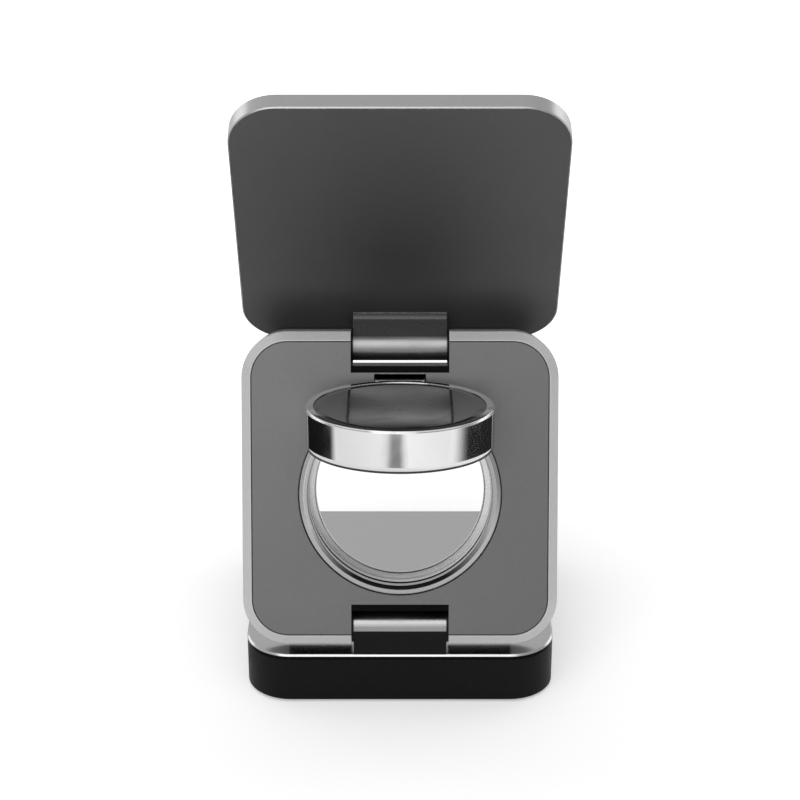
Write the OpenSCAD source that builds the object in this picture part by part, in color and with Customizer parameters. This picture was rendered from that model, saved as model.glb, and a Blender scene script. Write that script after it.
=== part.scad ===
// Foldable three-in-one wireless charger, opened as a Z on a table.
// The base lies flat, the middle plate leans back over it, and the phone panel
// leans forward from the middle plate's top. A round watch puck is flipped out
// of the middle plate's ring.
// Frame: origin at the centre of the base's underside, +X to the right, +Y away
// from the viewer, +Z up. Sizes in millimetres, angles in degrees.

/* [Plates] */
// Width of all three plates
plate_w = 65; // [62:0.5:70]
// Radius of the plates' corners, seen from above
corner_r = 9.5; // [8:0.5:11]
// Gap left between two plates when they are folded together
fold_gap = 0.25; // [0.2:0.05:0.5]

/* [Base] */
// Length of the base, front to back
base_l = 65; // [63:0.5:70]
// Height of the base's housing, without its foot
base_t = 11; // [10:0.5:14]
// Thickness of the metal top plate
base_plate_t = 1.2; // [1:0.1:1.6]
// Bright chamfer round the top plate
base_chamfer = 0.4; // [0.3:0.05:0.6]
// Thickness of the tray's side walls
tray_wall = 1.6; // [1.2:0.1:2]
// Thickness of the tray's floor
tray_floor = 1.4; // [1:0.1:2]
// How far the rubber foot stands out below the tray
foot_h = 0.6; // [0.4:0.1:1]
// Distance from the base's outline to the rubber foot's
foot_inset = 5; // [4:0.5:8]
// Chamfer round the tray's underside
tray_chamfer = 0.8; // [0.5:0.1:1.2]
// Thickness of the steel ballast plate
ballast_t = 2.4; // [1.5:0.1:2.6]

/* [Middle plate] */
// Length of the middle plate
middle_l = 64.8; // [64.4:0.1:65.6]
// Thickness of the middle plate
middle_t = 10.7; // [10.2:0.1:12]
// Width of the bevel round its faces
bevel_w = 1.75; // [1.7:0.05:1.9]
// Depth of that bevel, measured through the plate
bevel_d = 1.2; // [1.1:0.05:1.4]
// Flat land between the bevel and the inset panel
panel_land = 0.15; // [0.1:0.05:0.3]
// Thickness of the two inset panels
panel_t = 1; // [0.8:0.1:1.2]
// How far the inset panels lie below the frame's faces
panel_sink = 0.1; // [0.05:0.05:0.2]

/* [Phone panel] */
// Length from the upper hinge's axis to the panel's top edge
phone_reach = 61.9; // [61:0.1:63]
// How far its lower edge reaches below that axis
phone_tail = 4.2; // [3.5:0.1:4.2]
// Thickness of the panel without its raised disc
phone_t = 3.7; // [3.5:0.1:5]
// Bright chamfer round the panel's plain back
phone_chamfer = 0.2; // [0.15:0.05:0.3]
// Thickness of the plain back sheet
back_sheet_t = 0.9; // [0.8:0.1:1]
// Thickness of the frame's web under that sheet
phone_web_t = 1; // [0.8:0.1:1.1]
// Thickness of the cover round the disc
phone_cover_t = 1; // [0.8:0.1:1.1]
// Distance from the raised disc to the panel's nearest edge
disc_margin = 3.6; // [3.2:0.1:4.4]
// How far the disc's centre lies above the panel's middle
disc_up = 1.55; // [1.2:0.05:1.6]
// How far the disc stands out of the panel
disc_h = 2.6; // [2.2:0.1:3.2]
// Thickness of the soft pad on the disc
disc_pad_t = 0.5; // [0.4:0.1:0.8]

/* [Hinges] */
// Distance from a plate's end to the hinge axis beside it
end_to_axis = 3.25; // [3.2:0.05:3.3]
// Width of the two hinge blocks
block_w = 19.4; // [16:0.1:22]
// Radius of the blocks' barrels
barrel_r = 2.95; // [2.8:0.05:3]
// Radius of the fillet where a block meets its plate
flare_r = 1.3; // [0.8:0.1:1.4]
// Gap between a block and each side of its notch
notch_side_gap = 0.35; // [0.25:0.05:0.6]
// Gap between a barrel and the bottom of its notch
notch_end_gap = 0.85; // [0.8:0.05:1.2]
// Radius of the hinge pins
pin_r = 1; // [0.8:0.05:1.2]
// Wall of the friction bushes round the pins
bush_wall = 1; // [0.7:0.05:1.1]
// Length of each friction bush
bush_l = 7; // [5:0.5:8]
// Running gap round a pin
pin_gap = 0.04; // [0.02:0.01:0.08]

/* [Ring and puck] */
// How far the ring's centre lies below the middle between the hinge axes
ring_drop = 1.15; // [0.9:0.05:1.6]
// Distance from the stowed puck to the plate's side edges
side_margin = 14; // [14:0.1:16]
// Distance from the stowed puck to the hinge axes, if it lay midway
end_margin = 10.65; // [10.65:0.05:12]
// Gap round the stowed puck in the ring's recess
puck_gap = 0.45; // [0.4:0.05:0.7]
// Wall of the ring's sleeve
sleeve_wall = 0.9; // [0.8:0.05:1.1]
// Width of the ring's polished flange, outside the recess
flange_w = 1.95; // [1.65:0.05:2.45]
// Width of the ledge at the bottom of the recess
ledge_w = 1.35; // [1.15:0.05:2.4]
// Thickness of the ledge that the stowed puck lies on
ledge_t = 1.95; // [1.5:0.05:2]
// Thickness of the watch puck
puck_t = 8.3; // [7.8:0.1:8.35]
// Thickness of the puck's side wall and bottom
puck_wall = 1.2; // [1:0.1:1.5]
// Width of the metal rim round the puck's charging face
puck_rim = 1.6; // [1.5:0.1:3]
// Depth of the dish in the charging face
dish_d = 0.8; // [0.4:0.1:1]
// Width of the arm that carries the puck
arm_w = 10; // [8:0.5:12]
// Distance from the puck's side to its hinge axis
pivot_out = 4.2; // [4.1:0.1:4.4]
// Depth of that axis below the middle plate's near face
pivot_depth = 2.2; // [2.2:0.1:2.4]
// Radius of the puck's knuckle
knuckle_r = 1.9; // [1.7:0.05:1.95]
// Radius of the puck's hinge pin
puck_pin_r = 0.75; // [0.6:0.05:0.9]
// Clearance round the knuckle and beside the arm
arm_gap = 0.3; // [0.25:0.05:0.4]

/* [Pose in the photograph] */
// Angle of the middle plate above the base
middle_angle = 70.4; // [60:0.1:90]
// Angle of the phone panel past the middle plate
phone_angle = 46.5; // [46:0.1:90]
// Angle that the puck is flipped out of the ring
puck_angle = 79.4; // [0:0.1:80]

/* [Inner parts] */
// Clearance round seated inner pieces
seat_gap = 0.1; // [0.05:0.05:0.2]
// Thickness of the circuit boards
board_t = 0.8; // [0.6:0.1:1]
// Thickness of the ferrite shields
ferrite_t = 0.6; // [0.4:0.1:0.8]
// Thickness of the charging coils
coil_t = 1; // [0.8:0.1:1.2]
// Outer radius of the earbud coil in the base
earbud_coil_r = 20; // [16:0.5:22]
// Gap between the disc's wall and the ring of magnets
magnet_gap = 1.9; // [1.5:0.1:4]
// Radius of the watch coil, as a share of the charging face's
watch_coil_share = 0.77; // [0.6:0.01:0.8]
// Distance from the base's circuit board to the base's sides
board_margin = 14.5; // [13.5:0.5:15.5]
// Width of the pockets beside the ring
pocket_w = 7.2; // [6.8:0.1:7.4]
// Number of magnets round the phone coil
magnet_count = 16; // [12:1:18]
// Radial width of those magnets
magnet_w = 3.4; // [2.5:0.1:3.6]
// Radius of the small housing screws
screw_r = 0.8; // [0.7:0.05:1]
// Width of the power inlet's opening
port_w = 8.94; // [8.9:0.01:9]
// Height of the power inlet's opening
port_h = 3.2; // [3.1:0.01:3.3]
// Depth of the power inlet
port_l = 7.3; // [6.5:0.1:8]

/* [Hidden] */
$fn = 96;
cut = 1; // how far a cutting shape runs past what it cuts
half_w = plate_w / 2;
axis_h = middle_t / 2 + fold_gap;
base_top = foot_h + base_t;
base_deck = base_top - base_plate_t;
axis_y = -base_l / 2 + end_to_axis;
axis_z = base_top + axis_h;
axis_span = middle_l - 2 * end_to_axis;
near_z = middle_t / 2;
frame_inset = bevel_w + panel_land;
notch_w = block_w + 2 * notch_side_gap;
notch_y = barrel_r + notch_end_gap;
bush_r = pin_r + pin_gap + bush_wall;
bush_x = notch_w / 2 + seat_gap;
pin_l = block_w + 2 * (notch_side_gap + seat_gap + bush_l);
ledge_z = -near_z + ledge_t;
ring_at = axis_span / 2 - ring_drop;
puck_r = min(half_w - side_margin, axis_span / 2 - end_margin);
puck_face_r = puck_r - puck_rim;
recess_r = puck_r + puck_gap;
sleeve_r = recess_r + sleeve_wall;
flange_r = recess_r + flange_w;
ledge_r = recess_r - ledge_w;
pivot_at = puck_r + pivot_out;
puck_top = near_z - fold_gap;
puck_bottom = puck_top - puck_t;
puck_edge = 1.2;
puck_face_t = 1.9;
pivot_z = near_z - pivot_depth;
arm_root = puck_r - 0.6;
watch_coil_r = watch_coil_share * puck_face_r;
watch_magnet_r = 0.35 * watch_coil_r;
phone_face = -axis_h;
phone_far = phone_face - phone_t;
disc_far = phone_far - disc_h;
disc_y = (phone_reach - phone_tail) / 2 + disc_up;
disc_r = min(half_w, (phone_reach + phone_tail) / 2) - disc_margin;
phone_wall = 1.4;
phone_ledge = phone_chamfer + 0.05;
block_lean = 0.42 * barrel_r;
cup_wall = 1;
pad_rim = 1.4;
cup_floor = disc_far + disc_pad_t + cup_wall;
phone_floor = phone_face - back_sheet_t;
sunk_head_z = phone_floor - 0.3;
phone_inside = phone_floor - phone_web_t;
magnet_in = disc_r - cup_wall - magnet_gap - magnet_w;
magnet_t = 1.2;
phone_coil_r = magnet_in - 0.9;
phone_board_r = 0.63 * disc_r;
inner_h = base_deck - foot_h - tray_floor;
floor_z = foot_h + tray_floor;
post_inset = 8.6;
post_r = 2.6;
pocket_top = -0.35;
pocket_x = half_w - 6.9;
pocket_y = 9;
pocket_l = axis_span - pocket_y - 11.3;
lead_w = pocket_w - 1.2;
watch_board_l = 0.68 * pocket_l;
board_w = plate_w - 2 * board_margin;
foot_sink = 0.4;
board_z = floor_z + ballast_t + 0.3;
port_z = board_z + board_t + port_h / 2;
coil_z = base_deck - coil_t;
base_end = base_l / 2;
block_screw_x = 0.31 * block_w;
block_screw_y = barrel_r - 1.05;
head_r = 1.75 * screw_r;
head_h = 0.75 * screw_r;
screw_grip = 2.5 * screw_r;
head_top = foot_h + foot_sink + seat_gap + head_h;
boss_r = 2;
board_boss_x = board_w / 2 - 4;
board_boss_y = base_end - 6;
inlet_y = base_end - 0.3 - port_l / 2;
inlet_wall = 0.35;

// Places of the moving parts: each one's own y runs along its plate
module at_middle() {
    translate([0, axis_y, axis_z]) rotate([middle_angle, 0, 0]) children();
}

module at_phone() {
    at_middle() translate([0, axis_span, 0]) rotate([phone_angle, 0, 0]) children();
}

module at_ring() {
    at_middle() translate([0, ring_at, 0]) children();
}

module at_puck() {
    at_ring() translate([0, pivot_at, pivot_z]) rotate([-puck_angle, 0, 0])
        translate([0, -pivot_at, -pivot_z]) children();
}

// Rounded rectangle from y0 to y1, centred across x
module outline(w, y0, y1, r) {
    translate([-w / 2 + r, y0]) square([w - 2 * r, y1 - y0]);
    translate([-w / 2, y0 + r]) square([w, y1 - y0 - 2 * r]);
    for (x = [-1, 1], y = [y0 + r, y1 - r]) translate([x * (w / 2 - r), y]) circle(r);
}

// Half of a plate's section: its rim at x = 0, its core towards -x;
// a bevel is [width, depth], or [0, 0] for a square edge
module rim_section(core, t, top, bottom) {
    polygon(concat(
        [[-core, 0], [-core, t]],
        top[0] > 0 ? [[-top[0], t], [0, t - top[1]]] : [[0, t]],
        bottom[0] > 0 ? [[0, bottom[1]], [-bottom[0], 0]] : [[0, 0]]
    ));
}

// Rounded plate from z = 0 to t, with bevels round its two faces
module bevelled_plate(w, y0, y1, r, t, top, bottom) {
    half_l = (y1 - y0) / 2;
    translate([0, (y0 + y1) / 2, 0]) for (side = [0, 1]) {
        mirror([side, 0, 0]) translate([w / 2, half_l - r, 0]) rotate([90, 0, 0])
            linear_extrude(2 * (half_l - r)) rim_section(w / 2, t, top, bottom);
        mirror([0, side, 0]) translate([r - w / 2, half_l, 0]) rotate([90, 0, 90])
            linear_extrude(w - 2 * r) rim_section(half_l, t, top, bottom);
        for (end = [-1, 1])
            translate([(1 - 2 * side) * (w / 2 - r), end * (half_l - r), 0])
                rotate_extrude() translate([r, 0]) rim_section(r, t, top, bottom);
    }
}

// Thin sheet with the plate's rounded outline
module sheet(w, y0, y1, r, z, t) {
    translate([0, 0, z]) linear_extrude(t) outline(w, y0, y1, r);
}

// Ring between two radii
module washer(r_out, r_in, t) {
    linear_extrude(t) difference() {
        circle(r_out);
        circle(r_in);
    }
}

// Cylinder along x, centred
module x_rod(r, l) {
    rotate([0, 90, 0]) cylinder(r = r, h = l, center = true);
}

// Base: tray with walls, floor, screw posts and the inlet's opening
module base_tray() color("dimgray") difference() {
    union() {
        difference() {
            bevelled_plate(plate_w, -base_end, base_end, corner_r, base_deck,
                [0, 0], [tray_chamfer, tray_chamfer]);
            translate([0, 0, floor_z]) linear_extrude(base_t)
                outline(plate_w - 2 * tray_wall, -base_end + tray_wall,
                    base_end - tray_wall, corner_r - tray_wall);
        }
        posts(post_r, floor_z, inner_h);
        translate([0, board_boss_y, floor_z]) board_bosses(boss_r, board_z - floor_z);
    }
    sheet(plate_w, -base_end, base_end, corner_r, -cut, foot_h + cut);
    sheet(plate_w - 2 * foot_inset + 2 * seat_gap, -base_end + foot_inset - seat_gap,
        base_end - foot_inset + seat_gap, corner_r - foot_inset / 2, 0, foot_h + foot_sink);
    posts(screw_r + seat_gap, 0, base_t);
    posts(head_r + seat_gap, 0, head_top);
    translate([0, base_end - tray_wall, port_z]) port_hole(seat_gap, 3 * tray_wall);
}

// Pair of cylinders that carry the circuit board
module board_bosses(r, h) {
    for (x = [-1, 1]) translate([x * board_boss_x, 0, 0]) cylinder(r = r, h = h);
}

// Cylinders at the tray's four screw posts
module posts(r, z, h) {
    for (x = [-1, 1], y = [-1, 1])
        translate([x * (half_w - post_inset), y * (base_end - post_inset), z]) cylinder(r = r, h = h);
}

// Stadium-shaped inlet opening, centred, running along y
module port_hole(grow, l) {
    w = port_w + 2 * grow;
    h = port_h + 2 * grow;
    rotate([90, 0, 0]) linear_extrude(l, center = true) {
        square([w - h, h], center = true);
        for (x = [-1, 1]) translate([x * (w - h) / 2, 0]) circle(d = h);
    }
}

module base_plate() color("silver") difference() {
    translate([0, 0, base_deck]) bevelled_plate(plate_w, -base_end, base_end, corner_r,
        base_plate_t, [base_chamfer, base_chamfer], [0, 0]);
    translate([0, axis_y, base_deck - cut]) block_holes(screw_r + seat_gap, base_t);
    posts(screw_r, base_deck - cut, cut + 0.7);
}

// Two screw holes under a hinge block, along z
module block_holes(r, h) {
    for (x = [-1, 1]) translate([x * block_screw_x, block_screw_y, 0]) cylinder(r = r, h = h);
}

module rubber_foot() color("black")
    sheet(plate_w - 2 * foot_inset, -base_end + foot_inset, base_end - foot_inset,
        corner_r - foot_inset / 2, 0, foot_h + foot_sink);

module ballast_plate() color("gray") difference() {
    sheet(plate_w - 2 * tray_wall - 1, -base_end + post_inset + 0.4,
        board_boss_y - 3 * boss_r, 2, floor_z, ballast_t);
    posts(post_r + seat_gap, 0, base_t);
}

module base_board() color("darkgreen") difference() {
    sheet(board_w, board_boss_y - 7 * boss_r, base_end - tray_wall - 0.4, 1, board_z, board_t);
    translate([0, board_boss_y, board_z - cut]) board_bosses(screw_r, board_t + 2 * cut);
}

// Chips, inductor and capacitors soldered on the base's board
module board_parts() color("dimgray")
    translate([0, board_boss_y - 4 * boss_r, board_z + board_t]) {
    translate([-0.36 * board_w, -3, 0]) cube([5, 5, 0.9]);
    translate([-0.11 * board_w, -4.5, 0]) cube([4, 4, 0.8]);
    translate([0.3 * board_w, -2, 0]) cylinder(r = 2.6, h = 2.2);
    for (i = [0:3]) translate([0.07 * board_w, -5 + 1.7 * i, 0]) cube([1.6, 0.9, 0.8]);
}

module power_inlet() color("silver") difference() {
    translate([0, inlet_y, port_z]) port_hole(0, port_l);
    translate([0, inlet_y + 0.6, port_z]) port_hole(-inlet_wall, port_l);
}

module inlet_tongue() color("black")
    translate([-3.3, inlet_y + 0.6 - port_l / 2, port_z - 0.35]) cube([6.6, port_l - 2.3, 0.7]);

module earbud_coil() color("peru") translate([0, 2, coil_z])
    washer(earbud_coil_r, earbud_coil_r / 2, coil_t);

module earbud_ferrite() color("darkslategray") translate([0, 2, coil_z - ferrite_t])
    difference() {
        cylinder(r = earbud_coil_r + 0.5, h = ferrite_t);
        translate([0, 0, -cut]) cylinder(r = 2, h = ferrite_t + 2 * cut);
    }

// Screws up through the tray's posts into the top plate
module base_screws() color("gray") {
    posts(screw_r, head_top - head_h, base_deck + 0.5 - head_top + head_h);
    posts(head_r, head_top - head_h, head_h);
}

// Side view of a hinge block: barrel round the axis, web down to its plate,
// and a fillet where it meets the plate; lean moves the web's other side in
module block_section(lean) {
    circle(barrel_r);
    polygon([[-barrel_r, 0], [-barrel_r + lean, -axis_h], [barrel_r, -axis_h], [barrel_r, 0]]);
    difference() {
        translate([0, -axis_h]) square([barrel_r + flare_r, flare_r]);
        translate([barrel_r + flare_r, -axis_h + flare_r]) circle(flare_r);
    }
}

module hinge_block(lean) difference() {
    rotate([90, 0, 90]) linear_extrude(block_w, center = true) block_section(lean);
    x_rod(pin_r, block_w + 2 * cut);
    translate([0, 0, -axis_h - cut]) block_holes(screw_r, cut + screw_grip + 0.2);
}

module hinge_bushes() {
    for (x = [-1, 1]) translate([x * (bush_x + bush_l / 2), 0, 0]) difference() {
        x_rod(bush_r, bush_l);
        x_rod(pin_r + pin_gap, bush_l + 2 * cut);
    }
}

// Screw shank and head below a plate of thickness t, pointing up to the block
module block_screws(t) {
    translate([0, 0, -t]) block_holes(screw_r, t + screw_grip);
    translate([0, 0, -t - head_h]) block_holes(head_r, head_h);
}

module lower_hinge_block() color("dimgray") translate([0, axis_y, axis_z]) hinge_block(0);

module lower_hinge_pin() color("silver") translate([0, axis_y, axis_z]) x_rod(pin_r, pin_l);

module lower_block_screws() color("gray") translate([0, axis_y, base_top])
    block_screws(base_plate_t);

module lower_hinge_bushes() color("goldenrod") at_middle() hinge_bushes();

module upper_hinge_bushes() color("goldenrod") at_middle()
    translate([0, axis_span, 0]) hinge_bushes();

// Notches that the two hinge blocks turn in, cut through the middle plate
module hinge_notches() {
    translate([-notch_w / 2, -end_to_axis - cut, -middle_t])
        cube([notch_w, end_to_axis + cut + notch_y, 2 * middle_t]);
    translate([-notch_w / 2, axis_span - notch_y, -middle_t])
        cube([notch_w, end_to_axis + cut + notch_y, 2 * middle_t]);
}

// Room for the puck's knuckle and arm, cut from the near face
module arm_notch() {
    translate([0, ring_at, 0]) {
        translate([-arm_w / 2 - arm_gap, 0, pivot_z - knuckle_r - arm_gap])
            cube([arm_w + 2 * arm_gap, pivot_at, near_z]);
        translate([0, pivot_at, pivot_z])
            x_rod(knuckle_r + arm_gap, arm_w + 2 * arm_gap);
        translate([-arm_w / 2 - arm_gap, pivot_at, pivot_z])
            cube([arm_w + 2 * arm_gap, knuckle_r + arm_gap, near_z]);
    }
}

// Pocket beside the ring for the lead or the watch circuit, open to the far face
module side_pocket(side) {
    translate([side * pocket_x - pocket_w / 2, pocket_y, -near_z - cut])
        cube([pocket_w, pocket_l, pocket_top + near_z + cut]);
}

module middle_frame() color("lightgray") difference() {
    at_middle() translate([0, 0, -near_z])
        bevelled_plate(plate_w, -end_to_axis, middle_l - end_to_axis, corner_r, middle_t,
            [bevel_w, bevel_d], [bevel_w, bevel_d]);
    at_middle() {
        for (z = [near_z - panel_t - panel_sink, -near_z - cut])
            sheet(plate_w - 2 * frame_inset, -end_to_axis + frame_inset,
                middle_l - end_to_axis - frame_inset, corner_r - frame_inset, z,
                panel_t + panel_sink + cut);
        hinge_notches();
        arm_notch();
        side_pocket(-1);
        side_pocket(1);
        translate([0, ring_at, -middle_t]) cylinder(r = sleeve_r + 0.02, h = 2 * middle_t);
        for (y = [0, axis_span]) translate([0, y, 0])
            x_rod(bush_r + 0.02, 2 * (bush_x + bush_l + seat_gap));
        translate([0, ring_at + pivot_at, pivot_z]) x_rod(puck_pin_r, arm_w + 5);
    }
}

// Inset sheet with the notches and a round hole for the ring
module inset_panel(z, hole_r) {
    difference() {
        sheet(plate_w - 2 * frame_inset - 2 * seat_gap,
            -end_to_axis + frame_inset + seat_gap,
            middle_l - end_to_axis - frame_inset - seat_gap,
            corner_r - frame_inset - seat_gap, z, panel_t);
        hinge_notches();
        translate([0, ring_at, -middle_t]) cylinder(r = hole_r, h = 2 * middle_t);
    }
}

module near_panel() color("dimgray") at_middle() difference() {
    inset_panel(near_z - panel_t - panel_sink, flange_r + seat_gap / 2);
    arm_notch();
}

module far_panel() color("dimgray") at_middle()
    inset_panel(-near_z + panel_sink, sleeve_r + seat_gap);

// Polished ring: flange on the near face, sleeve through the plate, ledge at the far face
module ring_bezel() color("gainsboro") at_middle() difference() {
    seat = near_z - panel_t - panel_sink;
    translate([0, ring_at, 0]) rotate_extrude() polygon([
        [ledge_r, -near_z], [sleeve_r, -near_z], [sleeve_r, seat], [flange_r, seat],
        [flange_r, near_z - 0.5], [flange_r - 0.15, near_z - 0.35],
        [flange_r - 1, near_z], [recess_r + 0.2, near_z], [recess_r, near_z - 0.2],
        [recess_r, ledge_z], [ledge_r + 0.3, ledge_z], [ledge_r, ledge_z - 0.3]
    ]);
    arm_notch();
}

module puck_hinge_pin() color("silver") at_ring() translate([0, pivot_at, pivot_z])
    x_rod(puck_pin_r, arm_w + 5);

// Flat lead that carries power up the middle plate, beside the ring
module flex_lead() color("darkorange") at_middle()
    translate([pocket_x - lead_w / 2, pocket_y + 0.4, -near_z + panel_t + panel_sink])
        cube([lead_w, pocket_l - 0.8, 0.3]);

module watch_board() color("darkgreen") at_middle()
    translate([-pocket_x, pocket_y + 5, pocket_top - board_t]) {
    translate([-lead_w / 2, 0, 0]) cube([lead_w, watch_board_l, board_t]);
    translate([-2, 0.23 * watch_board_l, -1.2]) cube([4, 4, 1.2]);
    translate([-1.5, 0.62 * watch_board_l, -1]) cube([3, 5, 1]);
}

// Metal cup with a rounded bottom edge, and the arm and knuckle cast with it
module puck_shell() color("gainsboro") at_puck() difference() {
    union() {
        translate([0, 0, puck_bottom]) rotate_extrude() {
            square([puck_r - puck_edge, puck_t]);
            translate([0, puck_edge]) square([puck_r, puck_t - puck_edge - 0.3]);
            translate([puck_r - puck_edge, puck_edge]) intersection() {
                circle(puck_edge, $fn = 48);
                translate([0, -puck_edge]) square(puck_edge);
            }
            square([puck_r - 0.3, puck_t]);
        }
        translate([-arm_w / 2, arm_root, pivot_z - knuckle_r])
            cube([arm_w, pivot_at - arm_root, 2 * knuckle_r]);
        translate([0, pivot_at, pivot_z]) x_rod(knuckle_r, arm_w);
    }
    translate([0, 0, puck_bottom + puck_wall]) cylinder(r = puck_face_r, h = puck_t);
    translate([0, pivot_at, pivot_z]) x_rod(puck_pin_r + pin_gap, arm_w + 2 * cut);
}

// Dished cover that the watch's back rests on, revolved from an arc of steps
module puck_face() color("black") at_puck() {
    lip = 1.4;
    dish_r = puck_face_r - lip;
    arc_r = (pow(dish_r, 2) + pow(dish_d, 2)) / (2 * dish_d);
    face_z = puck_top - 0.15;
    steps = 10;
    rotate_extrude() polygon(concat(
        [[0, puck_top - puck_face_t], [puck_face_r - 0.05, puck_top - puck_face_t],
         [puck_face_r - 0.05, face_z]],
        [for (i = [steps:-1:0]) let (x = dish_r * i / steps)
            [x, face_z - dish_d + arc_r - sqrt(pow(arc_r, 2) - pow(x, 2))]]
    ));
}

module watch_coil() color("peru") at_puck() translate([0, 0, puck_top - puck_face_t - coil_t])
    washer(watch_coil_r, watch_magnet_r + 1.5, coil_t);

module watch_ferrite() color("darkslategray") at_puck()
    translate([0, 0, puck_bottom + puck_wall])
        washer(watch_coil_r + 1, watch_magnet_r + 0.3, puck_t - puck_wall - puck_face_t - coil_t);

module watch_magnet() color("silver") at_puck()
    translate([0, 0, puck_bottom + puck_wall])
        cylinder(r = watch_magnet_r, h = puck_t - puck_wall - puck_face_t);

// Upper hinge: its block is screwed to the phone panel's plain back
module upper_hinge_block() color("dimgray") at_phone() hinge_block(block_lean);

module upper_hinge_pin() color("silver") at_phone() x_rod(pin_r, pin_l);

module upper_block_screws() color("gray") at_phone() translate([0, 0, phone_face])
    block_screws(phone_face - sunk_head_z);

// Metal band round the phone panel, with a web that carries the hinge block
module phone_frame() color("lightgray") at_phone() difference() {
    translate([0, 0, phone_far])
        bevelled_plate(plate_w, -phone_tail, phone_reach, corner_r, phone_t,
            [phone_chamfer, phone_chamfer], [phone_chamfer, phone_chamfer]);
    sheet(plate_w - 2 * phone_ledge, -phone_tail + phone_ledge,
        phone_reach - phone_ledge, corner_r - phone_ledge, phone_floor, back_sheet_t + cut);
    sheet(plate_w - 2 * phone_wall, -phone_tail + phone_wall,
        phone_reach - phone_wall, corner_r - phone_wall, phone_far - cut,
        phone_cover_t + cut);
    translate([0, disc_y, phone_far - cut])
        cylinder(r = disc_r + 0.02, h = phone_inside - phone_far + cut);
    translate([0, 0, phone_far]) block_holes(screw_r + seat_gap, phone_t);
    translate([0, 0, phone_far]) block_holes(head_r + seat_gap, sunk_head_z - phone_far);
}

module back_sheet() color("dimgray") at_phone() difference() {
    sheet(plate_w - 2 * phone_ledge - 2 * seat_gap,
        -phone_tail + phone_ledge + seat_gap, phone_reach - phone_ledge - seat_gap,
        corner_r - phone_ledge - seat_gap, phone_floor, back_sheet_t);
    translate([0, 0, phone_floor - cut]) block_holes(screw_r + seat_gap, back_sheet_t + 2 * cut);
}

module phone_cover() color("dimgray") at_phone() difference() {
    sheet(plate_w - 2 * phone_wall - 2 * seat_gap,
        -phone_tail + phone_wall + seat_gap, phone_reach - phone_wall - seat_gap,
        corner_r - phone_wall - seat_gap, phone_far, phone_cover_t);
    translate([0, disc_y, phone_far - cut]) cylinder(r = disc_r + seat_gap, h = 2 * phone_t);
}

// Raised cup that holds the coil and the magnets
module phone_disc() color("dimgray") at_phone() translate([0, disc_y, 0]) difference() {
    rotate_extrude() polygon([
        [0, disc_far], [disc_r - 0.6, disc_far], [disc_r, disc_far + 0.6],
        [disc_r, phone_inside], [disc_r - cup_wall, phone_inside],
        [disc_r - cup_wall, cup_floor], [0, cup_floor]
    ]);
    translate([0, 0, disc_far - cut]) cylinder(r = disc_r - pad_rim, h = cut + disc_pad_t);
}

module disc_pad() color("black") at_phone() translate([0, disc_y, disc_far])
    cylinder(r = disc_r - pad_rim - seat_gap / 2, h = disc_pad_t);

// Ring of magnets that hold the phone, with a gap between neighbours
module magnet_ring() color("silver") at_phone()
    translate([0, disc_y, cup_floor]) difference() {
        washer(magnet_in + magnet_w, magnet_in, magnet_t);
        for (i = [0:magnet_count - 1]) rotate([0, 0, i * 360 / magnet_count])
            translate([magnet_in - cut, -0.4, -cut])
                cube([magnet_w + 2 * cut, 0.8, magnet_t + 2 * cut]);
    }

module phone_coil() color("peru") at_phone()
    translate([0, disc_y, cup_floor]) washer(phone_coil_r, phone_coil_r - 12.5, coil_t);

module phone_ferrite() color("darkslategray") at_phone()
    translate([0, disc_y, cup_floor + coil_t])
        cylinder(r = phone_coil_r, h = ferrite_t);

module phone_board() color("darkgreen") at_phone()
    translate([0, disc_y, phone_inside - board_t]) difference() {
        cylinder(r = phone_board_r, h = board_t);
        translate([-plate_w / 2, phone_board_r / 2, -cut]) cube([plate_w, plate_w, board_t + 2 * cut]);
    }

base_tray();
base_plate();
rubber_foot();
ballast_plate();
base_board();
board_parts();
power_inlet();
inlet_tongue();
earbud_coil();
earbud_ferrite();
base_screws();
lower_hinge_block();
lower_hinge_pin();
lower_hinge_bushes();
lower_block_screws();
middle_frame();
near_panel();
far_panel();
ring_bezel();
puck_hinge_pin();
flex_lead();
watch_board();
puck_shell();
puck_face();
watch_coil();
watch_ferrite();
watch_magnet();
upper_hinge_block();
upper_hinge_pin();
upper_hinge_bushes();
upper_block_screws();
phone_frame();
back_sheet();
phone_cover();
phone_disc();
disc_pad();
magnet_ring();
phone_coil();
phone_ferrite();
phone_board();
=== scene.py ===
"""Foldable three-in-one wireless charger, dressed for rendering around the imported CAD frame."""
import math

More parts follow.
